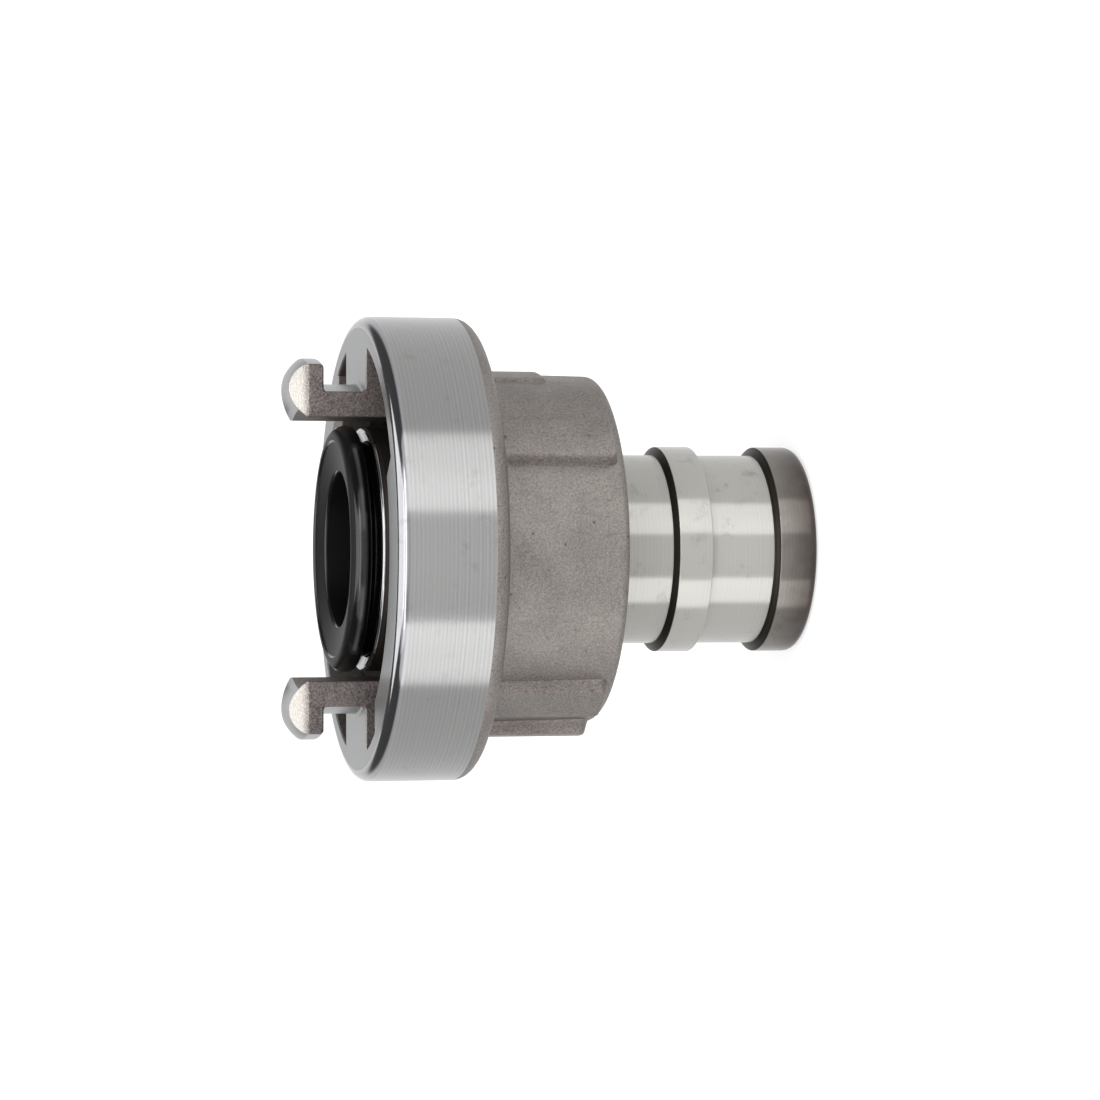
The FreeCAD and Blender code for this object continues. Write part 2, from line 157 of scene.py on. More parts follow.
def finish_mesh(shape, name, crease_angle=CREASE):
    """Turn a bmesh into an object with smooth faces and sharp creases."""
    bmesh.ops.remove_doubles(shape, verts=shape.verts, dist=0.0005 * MM)
    bmesh.ops.recalc_face_normals(shape, faces=shape.faces)
    mesh = bpy.data.meshes.new(name)
    shape.to_mesh(mesh)
    shape.free()
    mesh.shade_smooth()
    mesh.set_sharp_from_angle(angle=math.radians(crease_angle))
    piece = bpy.data.objects.new(name, mesh)
    bpy.context.scene.collection.objects.link(piece)
    return piece


def turned(name, corners, steps=256):
    """A turned piece: the side view's outline spun once round Z."""
    shape = bmesh.new()
    outline_face(shape, corners)
    bmesh.ops.delete(shape, geom=shape.faces[:], context="FACES_ONLY")
    bmesh.ops.spin(shape, geom=shape.verts[:] + shape.edges[:], axis=(0, 0, 1), cent=(0, 0, 0),
                   angle=math.tau, steps=steps, use_merge=True)
    piece = finish_mesh(shape, name)
    print(name, "has", len(piece.data.polygons), "faces")
    return piece


# %% [markdown]
# ## The hose tail
#
# The hose is pushed over the tail and bound behind its two ridges. Each ridge has a square back
# and a short conical front. Above them, hidden in the ring's hub, come the journal on which the
# ring turns, a wide groove for the retaining wire, and the head with the seat of the seal.

# %% Turn the hose tail
WATERWAY_RADIUS, WATERWAY_CHAMFER = 9.3, 0.6
TAIL_RADIUS, RIDGE_RADIUS, CONE_LENGTH = 11.28, 12.3, 0.55
END_RIDGE_TOP, SECOND_RIDGE_BACK, SECOND_RIDGE_TOP = 4.6, 12.9, 16.9
JOURNAL_RADIUS, JOURNAL_START = 13.4, 32.55
WIRE_GROOVE_RADIUS, WIRE_GROOVE_START, WIRE_GROOVE_END = 12.375, 35.15, 39.65
HEAD_RADIUS, HEAD_START, HEAD_TOP, HEAD_ROUND = 14.4, 41.95, 52.7, 0.4
SEAT_RADIUS, SEAT_FLOOR, SEAT_LIP_RADIUS, SEAT_LIP_START = 13.2, 47.2, 12.75, 51.1

hose_tail = turned("turned_hose_tail", [
    (WATERWAY_RADIUS + WATERWAY_CHAMFER, 0), (RIDGE_RADIUS, 0, 1.0), (RIDGE_RADIUS, END_RIDGE_TOP, 0.1),
    (TAIL_RADIUS, END_RIDGE_TOP + CONE_LENGTH), (TAIL_RADIUS, SECOND_RIDGE_BACK),
    (RIDGE_RADIUS, SECOND_RIDGE_BACK, 0.12), (RIDGE_RADIUS, SECOND_RIDGE_TOP, 0.1),
    (TAIL_RADIUS, SECOND_RIDGE_TOP + CONE_LENGTH),
    # A cone of 45 degrees leads up to the journal.
    (TAIL_RADIUS, JOURNAL_START - (JOURNAL_RADIUS - TAIL_RADIUS)), (JOURNAL_RADIUS, JOURNAL_START),
    (JOURNAL_RADIUS, WIRE_GROOVE_START), (WIRE_GROOVE_RADIUS, WIRE_GROOVE_START),
    (WIRE_GROOVE_RADIUS, WIRE_GROOVE_END), (JOURNAL_RADIUS, WIRE_GROOVE_END),
    (JOURNAL_RADIUS, HEAD_START), (HEAD_RADIUS, HEAD_START), (HEAD_RADIUS, HEAD_TOP, HEAD_ROUND),
    (13.8, HEAD_TOP, 0.1), (SEAT_LIP_RADIUS, HEAD_TOP - 0.7), (SEAT_LIP_RADIUS, SEAT_LIP_START),
    (SEAT_RADIUS, SEAT_LIP_START), (SEAT_RADIUS, SEAT_FLOOR), (WATERWAY_RADIUS, SEAT_FLOOR),
    (WATERWAY_RADIUS, WATERWAY_CHAMFER),
])

# %% [markdown]
# ## The seal
#
# The seal is one rubber moulding. Its foot is held under the lip of the head, and its front is a
# soft lip that stands out past the ring's face, so that two couplings squeeze their lips together.
# The lip's front slopes a little to the hole, and a fine step runs round where the slope begins.

# %% Turn the seal
HOLE_RADIUS, FOOT_RADIUS, FOOT_TOP, NECK_RADIUS = 9.1, 13.12, 51.0, 12.6
LIP_RADIUS, LIP_BACK, LIP_FRONT, STEP_RADIUS, STEP_DEPTH = 14.5, 53.8, 56.1, 12.75, 0.2

seal = turned("rubber_seal", [
    (HOLE_RADIUS, SEAT_FLOOR), (FOOT_RADIUS, SEAT_FLOOR), (FOOT_RADIUS, FOOT_TOP),
    (NECK_RADIUS, FOOT_TOP), (NECK_RADIUS, LIP_BACK - 0.4, 0.3), (LIP_RADIUS, LIP_BACK, 0.55),
    (LIP_RADIUS, LIP_FRONT, 1.4), (STEP_RADIUS, LIP_FRONT, 0.1),
    (STEP_RADIUS - 0.15, LIP_FRONT - STEP_DEPTH, 0.08), (HOLE_RADIUS, LIP_FRONT - 0.75, 0.35),
])

# %% [markdown]
# ## The claw ring
#
# The casting starts as a turned blank. Two rails stand inwards over a deep channel. The pockets
# beside the claws are cut through the rails with straight-walled cutters, as a milling cutter or
# a core in the mould would leave them.

# %% Turn the blank of the claw ring
FACE = 53.2
FLOOR = FACE - 9.8
RAIL_UNDERSIDE = FACE - 4.1
RING_BACK = FACE - 12.9
RING_RADIUS, RAIL_RADIUS, CHANNEL_RADIUS = 27.35, 20.0, 24.5
FRONT_ROUND, REAR_ROUND, RAIL_BEVEL_WIDTH, RAIL_BEVEL_DEPTH = 1.3, 1.8, 1.4, 0.7
HUB_REAR, HUB_REAR_RADIUS, HUB_FRONT_RADIUS = 25.0, 20.6, 20.85
SKIRT_RADIUS, COLLAR_RADIUS, COLLAR_START, COLLAR_END, CUP_RADIUS = 17.6, 13.45, 33.0, 39.5, 14.9
# The lathe stops where the rear rounding starts, and the rounding stays as cast.
TURNED_REAR = RING_BACK + REAR_ROUND - 0.05

claw_ring = turned("claw_ring_skin", [
    (RAIL_RADIUS + RAIL_BEVEL_WIDTH, FACE), (RING_RADIUS, FACE, FRONT_ROUND),
    (RING_RADIUS, RING_BACK, REAR_ROUND), (HUB_FRONT_RADIUS, RING_BACK, 1.2),
    (HUB_REAR_RADIUS, HUB_REAR, 0.9), (SKIRT_RADIUS, HUB_REAR, 0.4), (SKIRT_RADIUS, COLLAR_START),
    (COLLAR_RADIUS, COLLAR_START), (COLLAR_RADIUS, COLLAR_END), (CUP_RADIUS, COLLAR_END),
    (CUP_RADIUS, FLOOR), (CHANNEL_RADIUS, FLOOR), (CHANNEL_RADIUS, RAIL_UNDERSIDE),
    (RAIL_RADIUS, RAIL_UNDERSIDE), (RAIL_RADIUS, FACE - RAIL_BEVEL_DEPTH),
], steps=240)

# %% [markdown]
# The claws are straight-sided: seen along the axis, their flanks are parallel. So the side view
# is drawn once and pushed out across the claw's width. The corners of the tip are cut off with
# two sloping planes, and then each row of points is moved in so that the claw follows the ring's
# curve, with flanks that stay flat.

# %% Model one claw and turn it to both sides
CLAW_HALF = 6.5
CLAW_INNER, STEM_OUTER, HOOK_RADIUS = 16.55, 19.35, 22.35
TIP = FACE + 8.4
HOOK_UNDERSIDE = FACE + 4.9
TAB_RADIUS, TAB_BOTTOM = 25.0, FLOOR - 0.5
TIP_DROP, TIP_SIDE_WIDTH = 1.7, 3.6
CROWN_OUTER, CROWN_INNER, CROWN_DROP = 21.07, 17.3, 1.5
# A narrow broken edge runs round each flank, and the slopes of the tip end in a soft rounding.
FLANK_EDGE = 0.15
SLOPE_ROUND = 0.8
CUTS_ACROSS = 15


def claw(turn):
    """One claw with the solid tab under it, turned about Z by an angle."""
    shape = bmesh.new()
    outline_face(shape, [
        (CLAW_INNER, TAB_BOTTOM), (TAB_RADIUS, TAB_BOTTOM), (TAB_RADIUS, FACE), (STEM_OUTER, FACE, 0.6),
        (STEM_OUTER, HOOK_UNDERSIDE, 0.3), (HOOK_RADIUS, HOOK_UNDERSIDE, 0.45),
        (HOOK_RADIUS, TIP - TIP_DROP, 0.12), (CROWN_OUTER, TIP, 2.0), (CROWN_INNER, TIP, 1.6),
        (CLAW_INNER, TIP - CROWN_DROP, 0.4),
    ])
    inner_half = CLAW_HALF - FLANK_EDGE
    bmesh.ops.translate(shape, verts=shape.verts, vec=(0, -inner_half * MM, 0))
    swept = bmesh.ops.extrude_face_region(shape, geom=shape.faces[:])
    ends = [item for item in swept["geom"] if isinstance(item, bmesh.types.BMVert)]
    bmesh.ops.translate(shape, verts=ends, vec=(0, 2 * inner_half * MM, 0))
    across = [edge for edge in shape.edges if edge.verts[0].co.y * edge.verts[1].co.y < 0]
    bmesh.ops.subdivide_edges(shape, edges=across, cuts=CUTS_ACROSS)
    bmesh.ops.recalc_face_normals(shape, faces=shape.faces)
    flanks = [face for face in shape.faces if abs(face.normal.y) > 0.9]
    bmesh.ops.inset_region(shape, faces=flanks, thickness=FLANK_EDGE * MM, depth=FLANK_EDGE * MM,
                           use_even_offset=True)
    for side in (-1, 1):
        cut = bmesh.ops.bisect_plane(
            shape, geom=shape.verts[:] + shape.edges[:] + shape.faces[:], dist=1e-7,
            plane_co=(0, side * CLAW_HALF * MM, (TIP - TIP_DROP) * MM),
            plane_no=(0, side * TIP_DROP, TIP_SIDE_WIDTH), clear_outer=True)
        rim = [item for item in cut["geom_cut"] if isinstance(item, bmesh.types.BMEdge)]
        bmesh.ops.holes_fill(shape, edges=rim)
        shape.normal_update()
        # The edge between the slope, whose normal has a Y of about 0.4, and the flat flank.
        slope_edge = [edge for edge in shape.edges if len(edge.link_faces) == 2 and sorted(
            round(abs(face.normal.y), 1) for face in edge.link_faces) == [0.4, 1.0]]
        bmesh.ops.bevel(shape, geom=slope_edge, offset=SLOPE_ROUND * MM, offset_type="OFFSET",
                        affect="EDGES", segments=5, profile=0.5, material=-1)
    for point in shape.verts:
        radius, across = point.co.x, point.co.y
        point.co.x = math.sqrt(radius ** 2 - across ** 2)
    bmesh.ops.rotate(shape, verts=shape.verts, cent=(0, 0, 0),
                     matrix=Matrix.Rotation(turn, 3, "Z"))
    return finish_mesh(shape, "claw")


claws = [claw(0), claw(math.pi)]
print("each claw has", len(claws[0].data.polygons), "faces")

# %% [markdown]
# The pockets are cut straight down. The entry pocket's far wall is parallel to the flank of the
# other coupling's claw as it goes in, and the outer walls follow a circle about the axis. The top
# of each cutter flares out, so the cut leaves a narrow broken edge where it meets the face.

# %% Model the cutters of the pockets
MATING_TURN, MATING_CLEARANCE = math.radians(47.5), 0.7
POCKET_RADIUS, SLOT_WIDTH = 24.25, 5.7
# The cutters start in the open channel and end inside the radius of the rails.
CUTTER_BOTTOM = 46.0
EDGE_BREAK = 0.16


def on_wall(radius, reach):
    """A point of the entry pocket's far wall, which is parallel to the mating claw's flank."""
    along = math.sqrt(radius ** 2 - reach ** 2)
    return Matrix.Rotation(-MATING_TURN, 2) @ Vector((along, -reach))


def pocket_cutter(corners, turn):
    """A straight cutter with the given outline, from the channel up through the face."""
    shape = bmesh.new()
    points = [shape.verts.new((x * MM, y * MM, CUTTER_BOTTOM * MM)) for x, y in corners]
    bottom = shape.faces.new(points)
    swept = bmesh.ops.extrude_face_region(shape, geom=[bottom])
    ends = [item for item in swept["geom"] if isinstance(item, bmesh.types.BMVert)]
    top = [item for item in swept["geom"] if isinstance(item, bmesh.types.BMFace)]
    bmesh.ops.translate(shape, verts=ends, vec=(0, 0, (FACE - EDGE_BREAK - CUTTER_BOTTOM) * MM))
    bmesh.ops.recalc_face_normals(shape, faces=shape.faces)
    # The direction in which each corner of the rim moves out and up by the same distance.
    flare = {tuple(point.co): point.normal * point.calc_shell_factor() for point in ends}
    swept = bmesh.ops.extrude_face_region(shape, geom=top)
    for point in (item for item in swept["geom"] if isinstance(item, bmesh.types.BMVert)):
        point.co += flare[tuple(point.co)] * 2 * EDGE_BREAK * MM
    bmesh.ops.delete(shape, geom=top, context="FACES_ONLY")
    bmesh.ops.rotate(shape, verts=shape.verts, cent=(0, 0, 0),
                     matrix=Matrix.Rotation(turn, 3, "Z"))
    return finish_mesh(shape, "pocket_cutter")


def arc_points(start, end, count=24):
    """Points from start to end on a circle about the axis."""
    first, last = (math.atan2(point[1], point[0]) for point in (start, end))
    return [(POCKET_RADIUS * math.cos(first + (last - first) * step / count),
             POCKET_RADIUS * math.sin(first + (last - first) * step / count))
            for step in range(count + 1)]


flank_end = math.sqrt(POCKET_RADIUS ** 2 - CLAW_HALF ** 2)
reach = CLAW_HALF + MATING_CLEARANCE
entry = arc_points((flank_end, -CLAW_HALF), on_wall(POCKET_RADIUS, reach)) + [
    tuple(on_wall(16.0, reach)), (14.0, -CLAW_HALF)]
slot_far = CLAW_HALF + SLOT_WIDTH
slot_end = math.sqrt(POCKET_RADIUS ** 2 - slot_far ** 2)
slot = arc_points((slot_end, slot_far), (flank_end, CLAW_HALF), 8) + [
    (15.0, CLAW_HALF), (15.0, slot_far)]
cutters = [pocket_cutter(corners, turn) for corners in (entry, slot) for turn in (0, math.pi)]
print("there are", len(cutters), "pocket cutters")

# %% [markdown]
# ## The spanner lugs
#
# Low lugs stand on the hub so that a hook spanner can grip it. They are part of the casting, with
# soft edges and a hollow at their foot. Each one is a small patch of the hub's surface, lifted by
# a height that rises from nothing to the lug's full height over a short distance.

# %% Model the lugs
def hub_radius(height):
    """Radius of the hub at a height."""
    widening = HUB_FRONT_RADIUS - HUB_REAR_RADIUS
    return HUB_REAR_RADIUS + widening * (height - HUB_REAR) / (RING_BACK - HUB_REAR)


def smooth_step(value):
    """A soft step from 0 to 1 while the value goes from 0 to 1."""
    value = min(max(value, 0.0), 1.0)
    return value * value * (3 - 2 * value)


# The rim of a patch lies a little under the hub's skin, and its back lies inside the hub's wall.
RIM_DEPTH, PATCH_BACK_RADIUS = 0.12, 19.2


def raised_patch(name, middle_angle, half_width, rear, top_radius, corner, rise):
    """A raised field of the hub with soft sides, as a closed patch that dips under the skin."""
    shape = bmesh.new()
    margin = 0.6 * rise
    # The front of the patch ends inside the back wall of the ring.
    front = RING_BACK + 0.6
    columns, rows = 44, 72
    bmesh.ops.create_grid(shape, x_segments=columns, y_segments=rows, size=1)
    for point in shape.verts:
        across = point.co.x * (half_width + margin)
        height = rear - margin + (point.co.y + 1) / 2 * (front - rear + margin)
        # Distance outside the field's outline, whose two rear corners are rounded.
        out_x = abs(across) - (half_width - corner)
        out_z = rear + corner - height
        outside = math.hypot(max(out_x, 0), max(out_z, 0)) - corner if max(out_x, out_z) > 0 else -corner
        lift = smooth_step(0.5 - outside / rise)
        skin = hub_radius(height)
        radius = skin - RIM_DEPTH + lift * (top_radius - skin + RIM_DEPTH)
        angle = middle_angle + across / HUB_REAR_RADIUS
        point.co = Vector((radius * math.cos(angle), radius * math.sin(angle), height)) * MM
    swept = bmesh.ops.extrude_face_region(shape, geom=shape.faces[:])
    inner = [item for item in swept["geom"] if isinstance(item, bmesh.types.BMVert)]
    for point in inner:
        flat = Vector((point.co.x, point.co.y, 0))
        point.co -= flat * (1 - PATCH_BACK_RADIUS * MM / flat.length)
    return finish_mesh(shape, name, crease_angle=60)


LUG_TURNS = (54.9, 174.9, 294.9, 144.9, 264.9)
lugs = [raised_patch("spanner_lug", math.radians(-turn), half_width=2.6, rear=26.2, top_radius=22.3,
                     corner=0.9, rise=0.75) for turn in LUG_TURNS]
# A low blank field lies on the hub behind one claw.
lugs.append(raised_patch("blank_field", 0.0, half_width=7.0, rear=31.7, top_radius=21.12, corner=0.8,
                         rise=0.9))
print("the hub gets", len(lugs), "raised patches")

# %% [markdown]
# Claws, lugs and ring are one piece of metal. Boolean modifiers now cut the pockets and join claws
# and lugs to the blank, which gives one closed skin with clean edges where the shapes meet.

# %% Cut and join the claw ring
def combine(piece, others, operation):
    """Cut the other meshes from a piece or join them to it, and remove them."""
    for other in others:
        change = piece.modifiers.new("combine", "BOOLEAN")
        change.operation = operation
        change.solver = "EXACT"
        change.object = other
        applied = bpy.data.meshes.new_from_object(piece.evaluated_get(
            bpy.context.evaluated_depsgraph_get()))
        piece.modifiers.clear()
        piece.data = applied
        bpy.data.objects.remove(other)


combine(claw_ring, cutters, "DIFFERENCE")
combine(claw_ring, claws + lugs, "UNION")
print("the joined ring has", len(claw_ring.data.polygons), "faces")

# %% [markdown]
# The cuts leave some points almost on top of each other, and these are merged. Normals weighted
# by area then keep the large flat faces flat in the light beside the narrow broken edges.

# %% Tidy the joined skin
SLIVER = 0.002 * MM

shape = bmesh.new()
shape.from_mesh(claw_ring.data)
bmesh.ops.remove_doubles(shape, verts=shape.verts, dist=SLIVER)
bmesh.ops.dissolve_degenerate(shape, edges=shape.edges, dist=SLIVER)
mesh = claw_ring.data
shape.to_mesh(mesh)
shape.free()
mesh.shade_smooth()
mesh.set_sharp_from_angle(angle=math.radians(CREASE))
weighted = claw_ring.modifiers.new("weighted_normals", "WEIGHTED_NORMAL")
weighted.keep_sharp = True
print("the tidy ring has", len(mesh.polygons), "faces")

# %% [markdown]
# ## Finishes
#
# Turned aluminium keeps the fine rings that the tool leaves. They run round the part, so light
# is smeared along the axis and stays sharp round it, and long lamps show as crisp bands. The
# Principled shader does this with its anisotropic setting and a tangent that runs round the part.

# %% Turned aluminium
def round_tangent(tree, coordinates):
    """The direction round the Z axis at each point, for the anisotropic highlight."""
    parts = add_node(tree, "ShaderNodeSeparateXYZ", inputs={"Vector": (coordinates, "Object")})
    minus = add_node(tree, "ShaderNodeMath", {"operation": "MULTIPLY"}, {0: (parts, "Y"), 1: -1.0})
    around = add_node(tree, "ShaderNodeCombineXYZ", inputs={"X": (minus, "Value"), "Y": (parts, "X")})
    return add_node(tree, "ShaderNodeVectorTransform",
                    {"vector_type": "VECTOR", "convert_from": "OBJECT", "convert_to": "WORLD"},
                    {"Vector": (around, "Vector")})


# The tool moves along this far in one turn of the lathe, a coarse feed whose marks still show.
FEED = 0.46 * MM


def turned_aluminium(name, light, dark, roughness, anisotropy, line_depth, stain=0.3, metallic=1.0,
                     dark_end=0.0):
    """Lathe-turned aluminium: a regular feed mark, finer random rings and a few faint stains.

    A height in millimetres for dark_end lets the surface darken below it, towards the hose end."""
    material, tree, output = new_material(name)
    coordinates = add_node(tree, "ShaderNodeTexCoord")
    parts = add_node(tree, "ShaderNodeSeparateXYZ", inputs={"Vector": (coordinates, "Object")})
    flat = add_node(tree, "ShaderNodeCombineXYZ", inputs={"X": (parts, "X"), "Y": (parts, "Y")})
    radius = add_node(tree, "ShaderNodeVectorMath", {"operation": "LENGTH"}, {0: (flat, "Vector")})
    along = add_node(tree, "ShaderNodeMath", {"operation": "ADD"}, {0: (radius, "Value"), 1: (parts, "Z")})
    turns = add_node(tree, "ShaderNodeMath", {"operation": "MULTIPLY"},
                     {0: (along, "Value"), 1: math.tau / FEED})
    marks = add_node(tree, "ShaderNodeMath", {"operation": "SINE"}, {0: (turns, "Value")})
    fine = add_node(tree, "ShaderNodeTexNoise", {"noise_dimensions": "1D"},
                    {"W": (along, "Value"), "Scale": 1 / (0.25 * MM), "Detail": 3.0, "Roughness": 0.7})
    rings = add_node(tree, "ShaderNodeMath", {"operation": "MULTIPLY_ADD"},
                     {0: (marks, "Value"), 1: 0.12, 2: (fine, "Fac")})
    stains = add_node(tree, "ShaderNodeTexNoise", {},
                      {"Vector": (coordinates, "Object"), "Scale": 1 / (2.5 * MM), "Detail": 8.0,
                       "Roughness": 0.7})
    grey = add_node(tree, "ShaderNodeMapRange", {}, {"Value": (rings, "Value"), "From Min": 0.25,
                                                     "From Max": 0.75})
    ringed = add_node(tree, "ShaderNodeMix", {"data_type": "RGBA"},
                      {"Factor": (grey, "Result"), "A": linear(dark), "B": linear(light)})
    worn = add_node(tree, "ShaderNodeMapRange", {}, {"Value": (stains, "Fac"), "From Min": 0.56,
                                                     "From Max": 0.8, "To Max": stain})
    stained = add_node(tree, "ShaderNodeMix", {"data_type": "RGBA"},
                       {"Factor": (worn, "Result"), "A": (ringed, "Result"), "B": linear("#5c5853")})
    if dark_end:
        # Darker below the dark_end height, towards the hose end, with a ragged edge from the stain noise.
        darkening_height = add_node(tree, "ShaderNodeMath", {"operation": "MULTIPLY_ADD"},
                          {0: (stains, "Fac"), 1: -2.5 * MM, 2: (parts, "Z")})
        darkening = add_node(tree, "ShaderNodeMapRange", {},
                         {"Value": (darkening_height, "Value"), "From Min": dark_end * MM, "From Max": -0.8 * MM,
                          "To Max": 0.95})
        stained = add_node(tree, "ShaderNodeMix", {"data_type": "RGBA"},
                           {"Factor": (darkening, "Result"), "A": (stained, "Result"),
                            "B": linear("#3f3733")})
    bump = add_node(tree, "ShaderNodeBump", {}, {"Height": (rings, "Value"), "Strength": 1.0,
                                                 "Distance": line_depth * MM})
    metal = add_node(tree, "ShaderNodeBsdfPrincipled", {}, {
        "Base Color": (stained, "Result"), "Metallic": metallic, "Roughness": roughness,
        "Anisotropic": anisotropy, "Anisotropic Rotation": 0.25,
        "Tangent": (round_tangent(tree, coordinates), "Vector"), "Normal": (bump, "Normal")})
    tree.links.new(metal.outputs["BSDF"], output.inputs["Surface"])
    return material


ring_turned = turned_aluminium("lathe_turned_aluminium", "#9f9f9e", "#949494",
                               roughness=0.26, anisotropy=1.0, line_depth=0.0007)
# The tail has an older skin with a thin grey oxide, so a part of the light is scattered and its
# bands are softer. Its end ridge darkens towards the hose end.
tail_turned = turned_aluminium("oxidised_turned_aluminium", "#b1b0ab", "#abaaa5", roughness=0.26,
                               anisotropy=1.0, line_depth=0.0003, stain=0.5, metallic=0.68)
ridge_turned = turned_aluminium("end_darkened_turned_aluminium", "#98948f", "#8f8b86", roughness=0.26,
                                anisotropy=1.0, line_depth=0.0003, stain=0.6, metallic=0.85,
                                dark_end=6.2)
# Inside the ring, and on the ridges' cones, the metal is painted dark and dull: painted shade for
# the hollow of the hub and for the dark undersides that the cones mirror.
head_turned = turned_aluminium("shade_painted_turned_aluminium", "#55504b", "#3f3b37",
                               roughness=0.45, anisotropy=0.3, line_depth=0.001)
# The face and the claws were rubbed with a fine abrasive, which leaves a satin grey with no clear bands.
face_turned = turned_aluminium("satin_turned_aluminium", "#a9aaab", "#a2a3a4",
                               roughness=0.36, anisotropy=0.4, line_depth=0.0008)
# The front rounding is burnished by handling: smooth, so it mirrors the dark and the bright parts
# of the room side by side.
edge_turned = turned_aluminium("burnished_aluminium_edge", "#9c9c9f", "#8e8e91",
                               roughness=0.13, anisotropy=0.2, line_depth=0.0005)
print("turned finishes:", [material.name for material in (
    ring_turned, tail_turned, ridge_turned, head_turned, face_turned, edge_turned)])

# %% [markdown]
# The hub, the flanks of the claws and the pockets keep the skin of the casting. It was blasted
# with grit, so it is an even, matt, slightly warm grey with a fine speckle and a few dark pits.

# %% Blasted casting skin
def blasted_aluminium(name, light, dark, highlight_above=0.0):
    """Grit-blasted cast aluminium: speckle of about 0.2 mm, faint mottling of several millimetres.

    Above a height in millimetres for highlight_above the skin gives way to a brighter painted highlight."""
    material, tree, output = new_material(name)
    coordinates = add_node(tree, "ShaderNodeTexCoord")
    speckle = add_node(tree, "ShaderNodeTexNoise", {},
                       {"Vector": (coordinates, "Object"), "Scale": 1 / (0.22 * MM), "Detail": 2.0,
                        "Roughness": 0.7})
    mottle = add_node(tree, "ShaderNodeTexNoise", {},
                      {"Vector": (coordinates, "Object"), "Scale": 1 / (4 * MM), "Detail": 3.0})
    spread = add_node(tree, "ShaderNodeMath", {"operation": "MULTIPLY_ADD"},
                      {0: (mottle, "Fac"), 1: 0.3, 2: (speckle, "Fac")})
    shade = add_node(tree, "ShaderNodeMapRange", {}, {"Value": (spread, "Value"), "From Min": 0.45,
                                                      "From Max": 0.85})
    colour = add_node(tree, "ShaderNodeMix", {"data_type": "RGBA"},
                      {"Factor": (shade, "Result"), "A": linear(dark), "B": linear(light)})
    dents = add_node(tree, "ShaderNodeTexNoise", {},
                     {"Vector": (coordinates, "Object"), "Scale": 1 / (1.1 * MM), "Detail": 2.0})
    pits = add_node(tree, "ShaderNodeMapRange", {}, {"Value": (dents, "Fac"), "From Min": 0.7,
                                                     "From Max": 0.76, "To Max": 0.7})
    pitted = add_node(tree, "ShaderNodeMix", {"data_type": "RGBA"},
                      {"Factor": (pits, "Result"), "A": (colour, "Result"), "B": linear("#46403d")})
    # Painted highlight: nearly white metal above the given height, with a ragged edge.
    if highlight_above:
        parts = add_node(tree, "ShaderNodeSeparateXYZ", inputs={"Vector": (coordinates, "Object")})
        uneven = add_node(tree, "ShaderNodeMath", {"operation": "MULTIPLY_ADD"},
                          {0: (speckle, "Fac"), 1: 0.6 * MM, 2: (parts, "Z")})
        highlight = add_node(tree, "ShaderNodeMapRange", {"interpolation_type": "SMOOTHSTEP"},
                          {"Value": (uneven, "Value"), "From Min": highlight_above * MM,
                           "From Max": (highlight_above + 1.0) * MM})
        highlight_colour = add_node(tree, "ShaderNodeMix", {"data_type": "RGBA"},
                        {"Factor": (shade, "Result"), "A": linear("#b5b0aa"), "B": linear("#e0dcd6")})
        pitted = add_node(tree, "ShaderNodeMix", {"data_type": "RGBA"},
                          {"Factor": (highlight, "Result"), "A": (pitted, "Result"), "B": (highlight_colour, "Result")})
    bump = add_node(tree, "ShaderNodeBump", {}, {"Height": (speckle, "Fac"), "Strength": 1.0,
                                                 "Distance": 0.06 * MM})
    metal = add_node(tree, "ShaderNodeBsdfPrincipled", {}, {
        "Base Color": (pitted, "Result"), "Metallic": 1.0, "Roughness": 0.5,
        "Normal": (bump, "Normal")})
    tree.links.new(metal.outputs["BSDF"], output.inputs["Surface"])
    return material


cast_skin = blasted_aluminium("blasted_cast_aluminium", "#928d89", "#6f6a66")
# The claws' tips get a painted highlight, brighter metal above the start of their slopes where the top
# lamp strikes them.
claw_skin = blasted_aluminium("blasted_claw_flank", "#857d7b", "#4f4947", highlight_above=TIP - TIP_DROP)
# The side walls of the lugs get a darker skin as painted shade.
lug_wall_shade = blasted_aluminium("blasted_lug_wall_shade", "#8d8683", "#605a57")
print("cast finishes:", [material.name for material in (cast_skin, claw_skin, lug_wall_shade)])

# %% [markdown]
# The seal is black nitrile rubber, smooth from a polished mould. Rubber is not a metal: it shows
# a weak, soft reflection over a nearly black body. The hidden wire is drawn spring steel, a clean
# grey metal with fairly sharp reflections.

# %% Moulded rubber and spring wire
def moulded_rubber(name, shine, roughness):
    """Black nitrile rubber with a very fine mould grain."""
    material, tree, output = new_material(name)
    coordinates = add_node(tree, "ShaderNodeTexCoord")
    grain = add_node(tree, "ShaderNodeTexNoise", {},
                     {"Vector": (coordinates, "Object"), "Scale": 1 / (0.3 * MM), "Detail": 3.0})
    bump = add_node(tree, "ShaderNodeBump", {}, {"Height": (grain, "Fac"), "Strength": 0.6,
                                                 "Distance": 0.006 * MM})
    colour = add_node(tree, "ShaderNodeMix", {"data_type": "RGBA"},
                      {"Factor": (grain, "Fac"), "A": linear("#030303"), "B": linear("#0b0a0a")})
    rubber = add_node(tree, "ShaderNodeBsdfPrincipled", {}, {
        "Base Color": (colour, "Result"), "Roughness": roughness, "IOR": 1.5, "Specular IOR Level": shine,
        "Normal": (bump, "Normal")})
    tree.links.new(rubber.outputs["BSDF"], output.inputs["Surface"])
    return material


